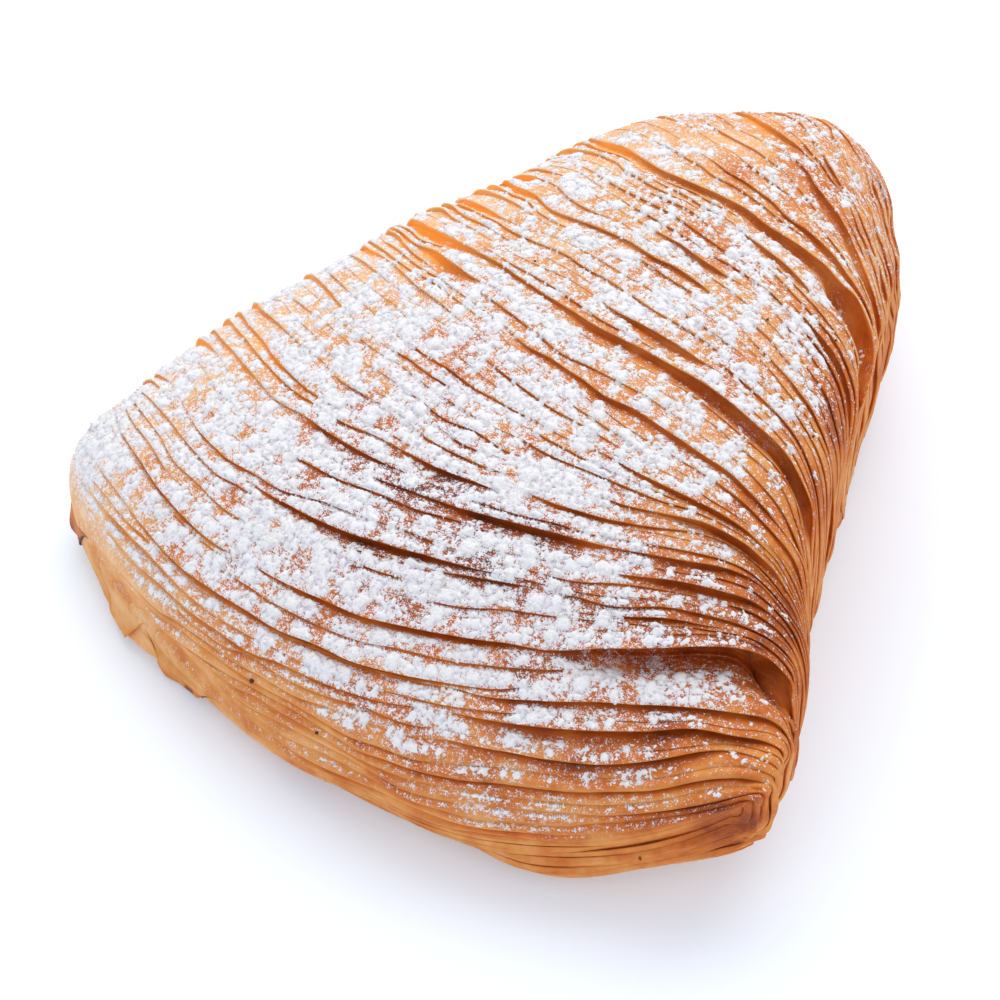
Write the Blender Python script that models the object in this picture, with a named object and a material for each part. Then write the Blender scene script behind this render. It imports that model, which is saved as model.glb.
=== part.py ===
"""Sfogliatella, the ridged kind: one baked shell of thin overlapping leaves, lying flat.

The pastry is one closed body.  Leaves wrap round it one after another from the narrow
apex (+Y) to the wide nose (-Y); every lip faces the nose and laps over the next leaf.
Each ring of the body is one loop round the pastry: over the top from the left edge to
the right edge and back underneath.  Origin: middle of the bounding box, on the table.
"""
import math

import bpy
import numpy as np

MM = 0.001

# Plan of the outer edge, mm: five stations from apex to nose down each side.
LEFT_EDGE = ((0, 71), (-21, 56), (-34, 14), (-45, -36), (-29.5, -57))
RIGHT_EDGE = ((13, 58.5), (33, 30), (44, 12.5), (56, -1.5), (69.5, -13))
BOW = (1, -3, 5.5, 16, 9.5)          # how far each loop bulges towards the nose
LEFT_CORE_INSET = 21                 # the innermost loops stop short of the corners
RIGHT_CORE_INSET = 7.5

# Heights, mm, at the same five stations.
EDGE_HEIGHT = (15, 16, 16, 9, 7.5)   # widest line of the side wall above the table
CROWN = (26.5, 27.5, 27, 23.5, 13)   # top of the dome above that line
EDGE_TILT_APEX = 2                   # right edge up, left edge down, at the apex
EDGE_TILT_NOSE = 5.5                 # the same at the nose
NOSE_ENDS_RISE = 4                   # both ends of the nose line curl up
RIGHT_CORNER_RISE = 6.5              # the right corner is held clear of the table
END_ROUNDING = 0.78                  # how bluntly the dome runs down to apex and nose
SIDE_ROUNDING = 0.5                  # how upright the side walls stand
BELLY_ROUNDING = 0.45
FLAT_FOOT = 1.10                     # share by which the belly is pressed flat

# Leaves.
LEAF_COUNT = 26
FIRST_LIP, LAST_LIP = 0.09, 0.95     # positions along the body, 0 apex to 1 nose
LEAF_STEP = 1.1                      # height of an ordinary lip, mm
LIP_RUN = 0.006                      # length of the step below a lip
LEAN_AT = (0.0, 0.30, 0.45, 0.53, 0.68, 0.80, 1.0)
LEAN = (0.0, -0.06, -0.03, 0.0, -0.03, 0.0, 0.0)   # right end of a lip towards the apex
LEAF_WANDER = 0.0035                 # uneven hand-laid spacing

# Open folds: position, from and to (degrees, 0 right edge, 180 left edge), depth mm, run.
FOLDS = (
    ("apex fold", 0.385, 6, 130, 3.4, 0.022),
    ("left wedge", 0.520, 104, 170, 1.8, 0.014),
    ("shoulder fold", 0.493, 2, 84, 3.2, 0.018),
    ("side fold", 0.570, 4, 70, 2.4, 0.014),
    ("middle slit", 0.602, 20, 112, 2.2, 0.012),
    ("upper slit", 0.640, 56, 134, 1.8, 0.012),
    ("corner cavity", 0.668, -8, 74, 4.4, 0.026),
    ("front fold", 0.775, 20, 125, 1.6, 0.012),
)

RING_POINTS = 76
END_RING = 0.014


def spline(values, v):
    """Natural cubic through equally spaced stations on 0 to 1."""
    y = np.asarray(values, float)
    n = len(y)
    step = 1.0 / (n - 1)
    a = np.eye(n)
    b = np.zeros_like(y)
    for i in range(1, n - 1):
        a[i, i - 1:i + 2] = (1, 4, 1)
        b[i] = 6 * (y[i + 1] - 2 * y[i] + y[i - 1]) / step ** 2
    m = np.linalg.solve(a, b)
    i = np.clip((v / step).astype(int), 0, n - 2)
    t = v - i * step
    r = step - t
    if y.ndim == 2:
        t, r = t[..., None], r[..., None]
    return ((m[i] * r ** 3 + m[i + 1] * t ** 3) / (6 * step)
            + (y[i] / step - m[i] * step / 6) * r
            + (y[i + 1] / step - m[i + 1] * step / 6) * t)


def smooth(a, b, x):
    t = np.clip((x - a) / (b - a), 0, 1)
    return t * t * (3 - 2 * t)


def body(tau, phi):
    """Point on the smooth body: tau 0 apex to 1 nose, phi round the loop, mm."""
    v = (1 - np.cos(np.pi * tau)) / 2
    ends = np.clip(np.sin(np.pi * tau), 1e-6, 1)
    left, right = spline(LEFT_EDGE, v), spline(RIGHT_EDGE, v)
    nose = np.subtract(RIGHT_EDGE[-1], LEFT_EDGE[-1])
    nose = nose / np.hypot(*nose)
    left = left + LEFT_CORE_INSET * (v ** 8)[..., None] * nose
    right = right - RIGHT_CORE_INSET * (v ** 8)[..., None] * nose
    half = (right - left) / 2
    out = np.stack([half[..., 1], -half[..., 0]], -1)
    out /= np.linalg.norm(out, axis=-1, keepdims=True)
    c, s = np.cos(phi), np.sin(phi)
    plan = ((left + right) / 2 + c[..., None] * half
            + (spline(BOW, v) * (1 - c * c))[..., None] * out)
    edge = (spline(EDGE_HEIGHT, v) + (EDGE_TILT_APEX * (1 - v) + EDGE_TILT_NOSE * v) * c
            + NOSE_ENDS_RISE * v ** 2 * c ** 2 + RIGHT_CORNER_RISE * v ** 2 * (c > 0) * c ** 4)
    top = edge + spline(CROWN, v) * ends ** END_ROUNDING * np.abs(s) ** SIDE_ROUNDING
    under = edge * np.maximum(0, 1 - FLAT_FOOT * (ends * np.abs(s)) ** BELLY_ROUNDING)
    return np.concatenate([plan, np.where(s >= 0, top, under)[..., None]], -1)


def outward(tau, phi):
    """Unit normal of the smooth body."""
    d = 1e-3
    along = body(tau + d, phi) - body(tau - d, phi)
    round_ = body(tau, phi + d) - body(tau, phi - d)
    n = np.cross(round_, along)
    return n / np.maximum(np.linalg.norm(n, axis=-1, keepdims=True), 1e-9)


def lip_positions():
    """Lips in order from apex to nose; the lip nearest a fold moves onto it."""
    k = np.arange(LEAF_COUNT)
    lips = FIRST_LIP + (LAST_LIP - FIRST_LIP) * k / (LEAF_COUNT - 1)
    lips = lips + LEAF_WANDER * np.sin(k * 2.4) * np.cos(k * 0.7)
    folds = {}
    for fold in FOLDS:
        i = int(np.argmin([abs(t - fold[1]) + 9 * (j in folds) for j, t in enumerate(lips)]))
        lips[i] = fold[1]
        folds[i] = fold
    order = np.argsort(lips)
    return [(float(lips[i]), folds.get(int(i))) for i in order]


def leaned(t, phi):
    """Where along the body a lip runs at each angle round the loop."""
    return t + np.interp(t, LEAN_AT, LEAN) * np.cos(phi)


def step_height(t, phi):
    """Ordinary lip height: full on top, little underneath, none at the two ends."""
    upper = 0.25 + 0.75 * smooth(-0.25, 0.25, np.sin(phi))
    uneven = 0.75 + 0.25 * np.sin(3 * phi + 40 * t) * np.sin(23 * t)
    return LEAF_STEP * upper * uneven * smooth(0.0, 0.12, t) * smooth(1.0, 0.9, t)


def fold_depth(fold, phi):
    if fold is None:
        return np.zeros_like(phi)
    a, b = math.radians(fold[2]), math.radians(fold[3])
    mid, half = (a + b) / 2, (b - a) / 2
    away = np.abs((phi + math.pi) % (2 * math.pi) - math.pi - mid) / half
    return fold[4] * (1 - smooth(0.1, 1.0, away))


def rings():
    phi = np.arange(RING_POINTS) * 2 * np.pi / RING_POINTS
    one = np.ones(RING_POINTS)
    out = [body(END_RING * one, phi), body(0.045 * one, phi)]
    for t, fold in lip_positions():
        deep = fold_depth(fold, phi)
        high = step_height(t, phi)
        run = LIP_RUN + (fold[5] * deep / fold[4] if fold else 0)
        lip = leaned(t, phi)
        out.append(body(lip, phi) + outward(lip, phi) * (0.5 * high + 0.12 * deep)[:, None])
        root = lip + run
        out.append(body(root, phi) - outward(root, phi) * (0.5 * high + 0.88 * deep)[:, None])
    out += [body(0.972 * one, phi), body((1 - END_RING) * one, phi)]
    loops = np.array(out)
    loops[..., 2] = np.maximum(loops[..., 2], 0)
    return loops


def faces(ring_count):
    n = RING_POINTS
    out = []
    for k in range(ring_count - 1):
        for j in range(n):
            a, b = k * n + j, k * n + (j + 1) % n
            out += [(a, b, b + n), (a, b + n, a + n)]
    for base, flip in ((0, True), ((ring_count - 1) * n, False)):
        cap = [(0, 1, n - 1), (n // 2, n // 2 + 1, n // 2 - 1)]
        for j in range(1, n // 2 - 1):
            cap += [(j, j + 1, n - j), (j + 1, n - j - 1, n - j)]
        out += [tuple(base + i for i in (f[::-1] if flip else f)) for f in cap]
    return out


def crust_material():
    material = bpy.data.materials.new("crust")
    material.use_nodes = True
    shader = material.node_tree.nodes["Principled BSDF"]
    shader.inputs["Base Color"].default_value = (0.52, 0.25, 0.10, 1)
    shader.inputs["Roughness"].default_value = 0.6
    return material


def build():
    for old in list(bpy.data.objects):
        bpy.data.objects.remove(old, do_unlink=True)
    loops = rings()
    points = loops.reshape(-1, 3) * MM
    low, high = points.min(axis=0), points.max(axis=0)
    points -= ((low[0] + high[0]) / 2, (low[1] + high[1]) / 2, low[2])
    mesh = bpy.data.meshes.new("pastry")
    mesh.from_pydata([tuple(p) for p in points], [], faces(len(loops)))
    mesh.validate()
    mesh.update()
    mesh.materials.append(crust_material())
    pastry = bpy.data.objects.new("pastry", mesh)
    collection = bpy.data.collections.new("sfogliatella")
    bpy.context.scene.collection.children.link(collection)
    collection.objects.link(pastry)


build()
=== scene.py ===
"""Sfogliatella riccia: a baked fan of paper-thin leaves, dusted with icing sugar."""
import math

import bmesh
import bpy
import numpy as np
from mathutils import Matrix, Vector
from mathutils.bvhtree import BVHTree


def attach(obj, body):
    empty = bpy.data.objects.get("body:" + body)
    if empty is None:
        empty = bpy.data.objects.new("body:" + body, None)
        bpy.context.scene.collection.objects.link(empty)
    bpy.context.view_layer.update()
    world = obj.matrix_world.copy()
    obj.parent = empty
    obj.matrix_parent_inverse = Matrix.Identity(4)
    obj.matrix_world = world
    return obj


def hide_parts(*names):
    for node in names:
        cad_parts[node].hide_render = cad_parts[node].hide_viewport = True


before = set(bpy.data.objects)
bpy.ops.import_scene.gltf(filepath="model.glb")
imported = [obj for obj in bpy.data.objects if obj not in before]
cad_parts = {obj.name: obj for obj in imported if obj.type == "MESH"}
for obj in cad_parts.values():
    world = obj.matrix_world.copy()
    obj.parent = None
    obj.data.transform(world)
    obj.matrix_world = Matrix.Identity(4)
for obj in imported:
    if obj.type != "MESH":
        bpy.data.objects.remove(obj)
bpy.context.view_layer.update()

MM = 0.001

# --- The shell -------------------------------------------------------------------------
# A strip of lard dough is rolled up thin, cut into discs and pushed out from the inside,
# so that its turns slide into a fan of overlapping leaves.  Lengths here are in mm; a
# place on the shell is (along, round): 0 apex to 1 nose, and the angle round the loop.

SHELL_MIDDLE = (9.66, 10.85)         # middle of the shell's plan, moved to the origin
LEFT_EDGE = ((0, 71), (-21, 56), (-34, 14), (-45, -36), (-29.5, -57))
RIGHT_EDGE = ((13, 58.5), (33, 30), (44, 12.5), (56, -1.5), (69.5, -13))
BOW = (1, -3, 5.5, 16, 9.5)
LEFT_CORE_INSET, RIGHT_CORE_INSET = 21, 7.5
EDGE_HEIGHT = (15, 16, 16, 9, 7.5)
CROWN = (26.5, 27.5, 27, 23.5, 13)
EDGE_TILT_APEX, EDGE_TILT_NOSE = 2, 5.5
NOSE_ENDS_RISE, RIGHT_CORNER_RISE = 4, 6.5
END_ROUNDING, SIDE_ROUNDING, BELLY_ROUNDING, FLAT_FOOT = 0.78, 0.5, 0.45, 1.10
NEST = 2.6                           # how far the last turns draw in at the right corner
NOSE_DENT = 1.2                      # how far its front is pushed in, left of the middle


def spline(values, v):
    """Natural cubic through equally spaced stations on 0 to 1."""
    y = np.asarray(values, float)
    n = len(y)
    step = 1.0 / (n - 1)
    a, b = np.eye(n), np.zeros_like(y)
    for i in range(1, n - 1):
        a[i, i - 1:i + 2] = (1, 4, 1)
        b[i] = 6 * (y[i + 1] - 2 * y[i] + y[i - 1]) / step ** 2
    m = np.linalg.solve(a, b)
    i = np.clip((v / step).astype(int), 0, n - 2)
    t = v - i * step
    r = step - t
    if y.ndim == 2:
        t, r = t[..., None], r[..., None]
    return ((m[i] * r ** 3 + m[i + 1] * t ** 3) / (6 * step)
            + (y[i] / step - m[i] * step / 6) * r
            + (y[i + 1] / step - m[i + 1] * step / 6) * t)


def smooth(a, b, x):
    t = np.clip((x - a) / (b - a), 0, 1)
    return t * t * (3 - 2 * t)


def body(along, angle):
    """Point on the smooth shell, before the leaves, for arrays of places on it."""
    v = (1 - np.cos(np.pi * along)) / 2
    ends = np.clip(np.sin(np.pi * along), 1e-6, 1)
    left, right = spline(LEFT_EDGE, v), spline(RIGHT_EDGE, v)
    nose = np.subtract(RIGHT_EDGE[-1], LEFT_EDGE[-1])
    nose = nose / np.hypot(*nose)
    left = left + LEFT_CORE_INSET * (v ** 8)[..., None] * nose
    right = right - RIGHT_CORE_INSET * (v ** 8)[..., None] * nose
    last_turns = np.clip((along - 0.86) / 0.14, 0, 1) ** 1.3
    right = right - NEST * last_turns[..., None] * nose
    half = (right - left) / 2
    out = np.stack([half[..., 1], -half[..., 0]], -1)
    out /= np.linalg.norm(out, axis=-1, keepdims=True)
    c, s = np.cos(angle), np.sin(angle)
    plan = ((left + right) / 2 + c[..., None] * half
            + (spline(BOW, v) * (1 - c * c))[..., None] * out) - SHELL_MIDDLE
    dent = NOSE_DENT * np.exp(-((c + 0.22) / 0.20) ** 2) * smooth(0.85, 1.0, v)
    plan = plan - dent[..., None] * out
    edge = (spline(EDGE_HEIGHT, v) + (EDGE_TILT_APEX * (1 - v) + EDGE_TILT_NOSE * v) * c
            + NOSE_ENDS_RISE * v ** 2 * c ** 2 + RIGHT_CORNER_RISE * v ** 2 * (c > 0) * c ** 4)
    top = edge + spline(CROWN, v) * ends ** END_ROUNDING * np.abs(s) ** SIDE_ROUNDING
    under = edge * np.maximum(0, 1 - FLAT_FOOT * (ends * np.abs(s)) ** BELLY_ROUNDING)
    return np.concatenate([plan, np.where(s >= 0, top, under)[..., None]], -1)


def outward(along, angle):
    """Unit normal of the smooth shell, and how many mm one unit along is worth."""
    d = 4e-4
    at = np.clip(along, 2 * d, 1 - 2 * d)
    forward = body(at + d, angle) - body(at - d, angle)
    sideways = body(at, angle + d) - body(at, angle - d)
    n = np.cross(sideways, forward)
    n /= np.maximum(np.linalg.norm(n, axis=-1, keepdims=True), 1e-9)
    return n, np.linalg.norm(forward, axis=-1) / (2 * d)


def drift(x, y, seed):
    """Slow random wander between -1 and 1, from a seeded table."""
    table = np.random.default_rng(seed).uniform(-1, 1, (256, 256))
    x, y = np.broadcast_arrays(np.asarray(x, float), np.asarray(y, float))
    i, j = np.floor(x).astype(int), np.floor(y).astype(int)
    u, w = x - i, y - j
    u, w = u * u * (3 - 2 * u), w * w * (3 - 2 * w)
    i, j, i1, j1 = i % 256, j % 256, (i + 1) % 256, (j + 1) % 256
    return ((table[i, j] * (1 - u) + table[i1, j] * u) * (1 - w)
            + (table[i, j1] * (1 - u) + table[i1, j1] * u) * w)


# Points round a loop: close together over the top, sparse underneath, seam on the belly.
ROUND_POINTS = 290
BELLY_SPARSER = 3.2
WAIST = 0.55                         # the loop measured to share the points out
fine = np.linspace(-np.pi / 2, 1.5 * np.pi, 4001)
girth = body(np.full(len(fine), WAIST), fine)
stride = np.linalg.norm(np.diff(girth, axis=0), axis=1)
middle = (fine[1:] + fine[:-1]) / 2
walked = np.concatenate([[0], np.cumsum(stride)])
sparseness = np.where(np.sin(middle) > -0.2, 1, BELLY_SPARSER)
spent = np.concatenate([[0], np.cumsum(stride / sparseness)])
places = np.linspace(0, spent[-1], ROUND_POINTS, endpoint=False)
angle = np.interp(places, spent, fine)
girth_mm = np.interp(angle, fine, walked)
girth_mm -= np.interp(np.pi / 2, fine, walked)
turn = np.degrees(np.arccos(np.clip(np.cos(angle), -1, 1)))      # 0 right edge, 180 left edge
top_side = smooth(-0.35, 0.1, np.sin(angle))

# How the lips run: for a lip that crosses the crown at the first figure, how far nearer
# the nose (thousandths of the length) it lies at each angle from the right edge.
FLOW_ANGLES = (0, 15, 30, 45, 60, 90, 120, 150, 180)
FLOW = (
    (0.00, 0, 0, 0, 0, 0, 0, 0, 0, 0),
    (0.10, -70, -65, -55, -45, -35, 0, 20, 30, 30),
    (0.20, -100, -95, -80, -60, -40, 0, 20, 30, 35),
    (0.28, -140, -110, -80, -56, -35, 0, 20, 30, 30),
    (0.32, -90, -75, -62, -46, -28, 0, 23, 35, 40),
    (0.36, -45, -58, -78, -55, -36, 0, 30, 45, 45),
    (0.38, -15, -35, -72, -60, -42, 0, 37, 50, 50),
    (0.40, -40, -48, -55, -42, -26, 0, 25, 40, 40),
    (0.42, -70, -62, -54, -42, -26, 0, 20, 32, 35),
    (0.45, -36, -33, -25, -20, -14, 0, 20, 24, 25),
    (0.50, 25, 14, -9, -13, -10, 0, 8, 14, 15),
    (0.53, 65, 44, 21, 11, 5, 0, -2, 0, 0),
    (0.58, 22, 9, -17, -20, -9, 0, 3, -2, -2),
    (0.605, 27, 7, -20, -19, -12, 0, 7, 2, 2),
    (0.635, 28, 5, -14, -18, -11, 0, 10, 3, 0),
    (0.69, 0, -30, -44, -35, -22, 0, 2, -15, -30),
    (0.75, 40, 7, -7, -15, -10, 0, 12, -10, -40),
    (0.80, 20, 0, -29, -6, 0, 0, 4, 23, 0),
    (0.87, 10, -33, -23, 0, 0, 0, -10, 7, 0),
    (0.92, 4, 3, 4, 2, 0, 0, -6, 4, 0),
    (1.00, 0, 0, 0, 0, 0, 0, 0, 0, 0),
)

# Slits and folds that stand open: station, from and to (degrees), depth and the length over
# which the next leaf comes up to full height again, both mm.  Several may share one lip.
SLITS = (
    (0.213, 86, 100, 0.4, 1.7), (0.255, 91, 107, 0.4, 1.7), (0.285, 94, 108, 0.4, 1.7),
    (0.303, 104, 155, 0.7, 2.1), (0.318, 8, 114, 1.0, 2.5), (0.358, 18, 122, 0.7, 1.5),
    (0.378, 14, 148, 1.4, 3.0), (0.378, 10, 70, 2.6, 4.4), (0.397, 60, 98, 0.8, 1.9),
    (0.418, 16, 64, 0.8, 1.9), (0.431, 76, 113, 0.7, 1.9), (0.437, 132, 166, 1.5, 2.4),
    (0.446, 74, 158, 0.9, 1.9), (0.468, 126, 166, 1.7, 2.6), (0.482, 62, 99, 1.1, 2.1),
    (0.495, 12, 160, 1.0, 2.4), (0.495, 8, 76, 1.4, 2.8), (0.495, 122, 168, 2.0, 3.0),
    (0.508, 114, 140, 2.2, 2.8), (0.520, 26, 108, 0.8, 1.9), (0.530, 138, 170, 1.3, 2.3),
    (0.546, 30, 70, 0.7, 1.5),
    (0.560, 84, 116, 0.4, 1.5), (0.575, 20, 57, 1.6, 2.8), (0.576, 105, 121, 0.7, 1.5),
    (0.588, 114, 146, 0.7, 1.7), (0.586, 56, 80, 0.8, 1.7), (0.589, 83, 98, 0.7, 1.5),
    (0.597, 92, 122, 0.7, 1.5), (0.603, 28, 57, 1.3, 2.2), (0.604, 57, 91, 1.6, 2.4),
    (0.603, 145, 172, 1.0, 2.1), (0.619, 22, 60, 1.6, 2.5), (0.630, 114, 134, 0.5, 1.5),
    (0.634, 75, 121, 1.6, 2.4), (0.640, 67, 85, 0.7, 1.5), (0.629, 148, 172, 1.0, 2.0),
    (0.653, 33, 59, 0.7, 1.7), (0.685, 108, 150, 0.7, 1.9), (0.685, 60, 113, 1.3, 2.4),
    (0.685, 4, 64, 5.6, 6.5), (0.722, 74, 132, 1.4, 2.7), (0.741, 122, 156, 1.1, 2.5),
    (0.730, 12, 76, 0.9, 1.9), (0.752, 16, 80, 1.3, 2.4), (0.762, 88, 148, 1.0, 2.2),
    (0.790, 26, 82, 0.9, 2.0), (0.852, 120, 176, 1.1, 2.2), (0.800, 112, 150, 0.5, 1.8),
)

LEAVES = 80
FIRST_LIP, LAST_LIP = 0.035, 0.9985
SPACING_AT, SPACING = (0.0, 0.25, 0.74, 0.83, 1.0), (1.2, 1.0, 1.0, 1.25, 1.10)
LEAF_THICKNESS = 0.36
NARROWEST_LEAF = 0.35                # of the usual spacing
BACK_END, FRONT_END = 0.012, 0.9998  # no lip lies nearer the apex, no leaf nearer the nose
OVERHANG = 0.55                      # of the depth of the gap


def soften(line, width=9):
    """A closed loop of values, smoothed twice over a few neighbours."""
    kernel = np.ones(width) / width
    for _ in range(2):
        line = np.convolve(np.concatenate([line[-width:], line, line[:width]]), kernel, "same")
        line = line[width:-width]
    return line


def between(start, end, edge):
    """1 inside a range of angles over the top, fading to 0 at its ends."""
    inside = smooth(start - edge, start + edge, turn) * smooth(end + edge, end - edge, turn)
    return inside * (np.sin(angle) > -0.3)


# Stations are shared out by length over the crown, then pulled onto the slits.
grid = np.linspace(FIRST_LIP, LAST_LIP, 2000)
crown_speed = outward(grid, np.full(len(grid), np.pi / 2))[1]
counted = np.cumsum(crown_speed / np.interp(grid, SPACING_AT, SPACING))
station = np.interp(np.linspace(counted[0], counted[-1], LEAVES), counted, grid)
usual = np.gradient(station)[:, None]
leaf_station = np.repeat(station[:, None], ROUND_POINTS, axis=1)
slit_depth = np.zeros((LEAVES, ROUND_POINTS))
slit_run = np.zeros((LEAVES, ROUND_POINTS))
claimed = np.zeros((LEAVES, ROUND_POINTS), bool)
slit_lip = {}
for place, start, end, deep, run_out in SLITS:
    held = (turn > start) & (turn < end) & (np.sin(angle) > 0)
    busy = (claimed & held).any(axis=1)
    k = slit_lip.get(place)
    if k is None:
        k = int(np.argmin(np.abs(station - place) + busy))
        slit_lip[place] = k
    claimed[k] |= held
    reach = between(start - 6, end + 6, 8)
    leaf_station[k] += (place - leaf_station[k]) * reach
    fade = min(16.0, (end - start) / 2)
    share = between(start + fade / 2, end - fade / 2, fade / 2)
    slit_depth[k] += deep * share * (1 - 0.45 * smooth(70, 110, turn))
    slit_run[k] = np.maximum(slit_run[k], run_out * (share > 0))

# Every lip follows the flow, wanders a little, and keeps its place among its neighbours.
lip = np.empty((LEAVES, ROUND_POINTS))
number = np.arange(LEAVES)[:, None]
flow = np.array(FLOW)
seat = np.clip(np.searchsorted(FLOW_ANGLES, turn, side="right") - 1, 0, len(FLOW_ANGLES) - 2)
angle_before, angle_after = np.take(FLOW_ANGLES, seat), np.take(FLOW_ANGLES, seat + 1)
share = (turn - angle_before) / (angle_after - angle_before)
column = np.arange(ROUND_POINTS)
for k in range(LEAVES):
    offsets = np.array([np.interp(leaf_station[k], flow[:, 0], row) for row in flow[:, 1:].T])
    shift = offsets[seat, column] * (1 - share) + offsets[seat + 1, column] * share
    lip[k] = soften(leaf_station[k] + shift / 1000)
towards_nose = smooth(0.74, 0.84, station)[:, None]
wander = 0.30 * usual * drift(girth_mm / 15, number * 0.45, 11)
wander += 0.22 * usual * drift(girth_mm / 5, number * 0.9 + 40, 12)
wander += 0.20 * usual * drift(girth_mm / 7, number * 1.1 + 90, 13) * towards_nose
wander *= 1 - 0.75 * smooth(0.86, 0.92, station)[:, None] * smooth(60, 34, turn)
under_right_corner = smooth(0.78, 0.86, station)[:, None] * (np.cos(angle) > 0)
lip += wander * np.maximum(top_side, 0.6 * under_right_corner)
evened = sum(np.roll(lip, step, 0) for step in range(-4, 5)) / 9
evened[:4], evened[-4:] = lip[:4], lip[-4:]
lip += (evened - lip) * smooth(34, 10, turn) * smooth(2.0, 1.0, slit_depth)
lip[0] = np.maximum(lip[0], BACK_END)
for k in range(1, LEAVES):
    lip[k] = np.maximum(lip[k], lip[k - 1] + NARROWEST_LEAF * usual[k])
lip[-1] = np.minimum(lip[-1], LAST_LIP)
for k in range(LEAVES - 2, -1, -1):
    lip[k] = np.minimum(lip[k], lip[k + 1] - NARROWEST_LEAF * usual[k])

# Underneath, the last lips crowd towards the nose just as they do on top.
UNDER_STEP = 1.15
under = smooth(0.05, -0.25, np.sin(angle))
from_apex = np.linspace(0.70, 0.9994, 1500)
order = np.arange(LEAVES)[::-1]
for column in np.flatnonzero(under > 0):
    path = body(from_apex, np.full(1500, angle[column]))
    stretch = np.linalg.norm(np.diff(path, axis=0), axis=1)[::-1]
    to_nose = np.concatenate([np.cumsum(stretch)[::-1], [0.0]])
    now = np.interp(lip[:, column], from_apex, to_nose)
    share = under[column] * smooth(27, 5, order) * (lip[:, column] > 0.72)
    moved = now + (np.minimum(0.3 + UNDER_STEP * order, now) - now) * share
    moved_lip = np.interp(moved, to_nose[::-1], from_apex[::-1])
    lip[:, column] = np.where(share > 0, moved_lip, lip[:, column])

# How far each lip stands open, mm: a little over the crown, wide where the leaves fan
# together on the right, and hardly at all round the smooth left corner.
lip_speed = outward(lip, np.broadcast_to(angle, lip.shape))[1]
next_lip = np.concatenate([lip[1:], np.full((1, ROUND_POINTS), FRONT_END)])
leaf_mm = (next_lip - lip) * lip_speed
open_here = smooth(-0.25, 0.45, drift(girth_mm / 12, number * 1.7, 21))
right_side = smooth(62, 34, turn) * top_side
left_side = smooth(128, 156, turn) * top_side
crown = (1 - right_side) * (1 - left_side)
in_nose = smooth(0.77, 0.84, station)[:, None]
before_nose = smooth(0.72, 0.58, station)[:, None]
gap = (crown * (0.08 + 0.36 * open_here) + right_side * (0.38 + 0.30 * open_here)
       + left_side * (0.10 + 0.13 * open_here + 0.22 * open_here * before_nose)) * (1 - in_nose)
gap += in_nose * (0.14 + 0.46 * open_here)
crowded = smooth(0.95, 0.55, leaf_mm) * smooth(70, 50, turn)
paired = np.maximum(crowded, 0.5 * right_side)
gap *= np.where(number % 2, 1 - paired, 1 + 0.6 * paired)
under_nose = in_nose * smooth(100, 55, turn)
gap *= np.maximum(0.25 + 0.75 * top_side, under_nose)
gap *= smooth(0.02, 0.22, station)[:, None]
angle_degrees = np.degrees(angle)
left_wall = smooth(150, 166, angle_degrees)
smooth_corner = np.maximum(0.92 * smooth(0.86, 0.92, lip) * smooth(112, 138, turn),
                           0.80 * smooth(0.62, 0.72, lip) * left_wall)
gap += 0.16 * open_here * smooth(150, 175, angle_degrees) * top_side * before_nose
gap *= 1 - smooth_corner
gap *= 1 - 0.6 * smooth(0.92, 0.98, lip) * smooth(50, 20, turn)
gap = np.minimum(gap, 0.6 * leaf_mm * (1 + crowded))
within_fold = np.zeros_like(gap)
for k in range(LEAVES):
    for m in range(max(0, k - 6), k):
        distance = (lip[k] - lip[m]) * lip_speed[m]
        deep_enough = smooth(0.5, 1.8, slit_depth[m]) * (slit_run[m] > 0)
        near_enough = smooth(slit_run[m] + 0.01, 0.4 * slit_run[m], distance)
        within_fold[k] = np.maximum(within_fold[k], deep_enough * near_enough)
gap *= 1 - 0.6 * within_fold
gap += slit_depth * (1 - 0.5 * within_fold)
next_open = np.concatenate([open_here[1:], open_here[-1:]])

# The length over which a gap closes, the leaf's thickness, how far it reaches out over the
# gap, and how the leaves swell, lift at the lip and plump up in between.
run = leaf_mm * (1 + 1.4 * (1 - next_open) * crown * (1 - in_nose))
run = np.maximum(run, slit_run) / lip_speed
uneven = 0.8 + 0.3 * drift(girth_mm / 9, number * 1.3, 23)
thick = np.minimum(LEAF_THICKNESS * uneven, 0.75 * gap)
overhang = (OVERHANG * np.minimum(gap, 3.0)) / lip_speed
swollen = 0.18 * np.minimum(slit_depth, 3.5) + 0.07 * np.minimum(gap, 4.0)
lift = 0.03 * gap
left_middle = left_side * smooth(0.3, 0.42, station)[:, None] * before_nose
lift += 0.45 * left_middle * smooth(0.2, 0.8, open_here)
plump = 0.44 * in_nose * (0.6 + 0.8 * open_here) * np.maximum(top_side, under_nose)
plump += 0.14 * right_side
plump *= (1 - smooth_corner) * (1 - crowded)


def sunk(k, along):
    """How deep the gaps behind leaf k still leave it lying, mm."""
    depth = np.zeros_like(along)
    for m in range(max(0, k - 7), k):
        x = np.clip((along - lip[m]) / run[m], 0, 1)
        depth += gap[m] * (1 - x) ** 2 * (1 + 0.6 * x)
    return depth


def raised_before(k, along):
    """How far the leaves ahead of an open slit are pushed up by it, mm."""
    height = np.zeros_like(along)
    for m in range(k, min(k + 6, LEAVES)):
        away = np.maximum(lip[m] - along, 0) * lip_speed[m]
        height += swollen[m] * np.exp(-(away / 2.4) ** 2)
    return height


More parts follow.
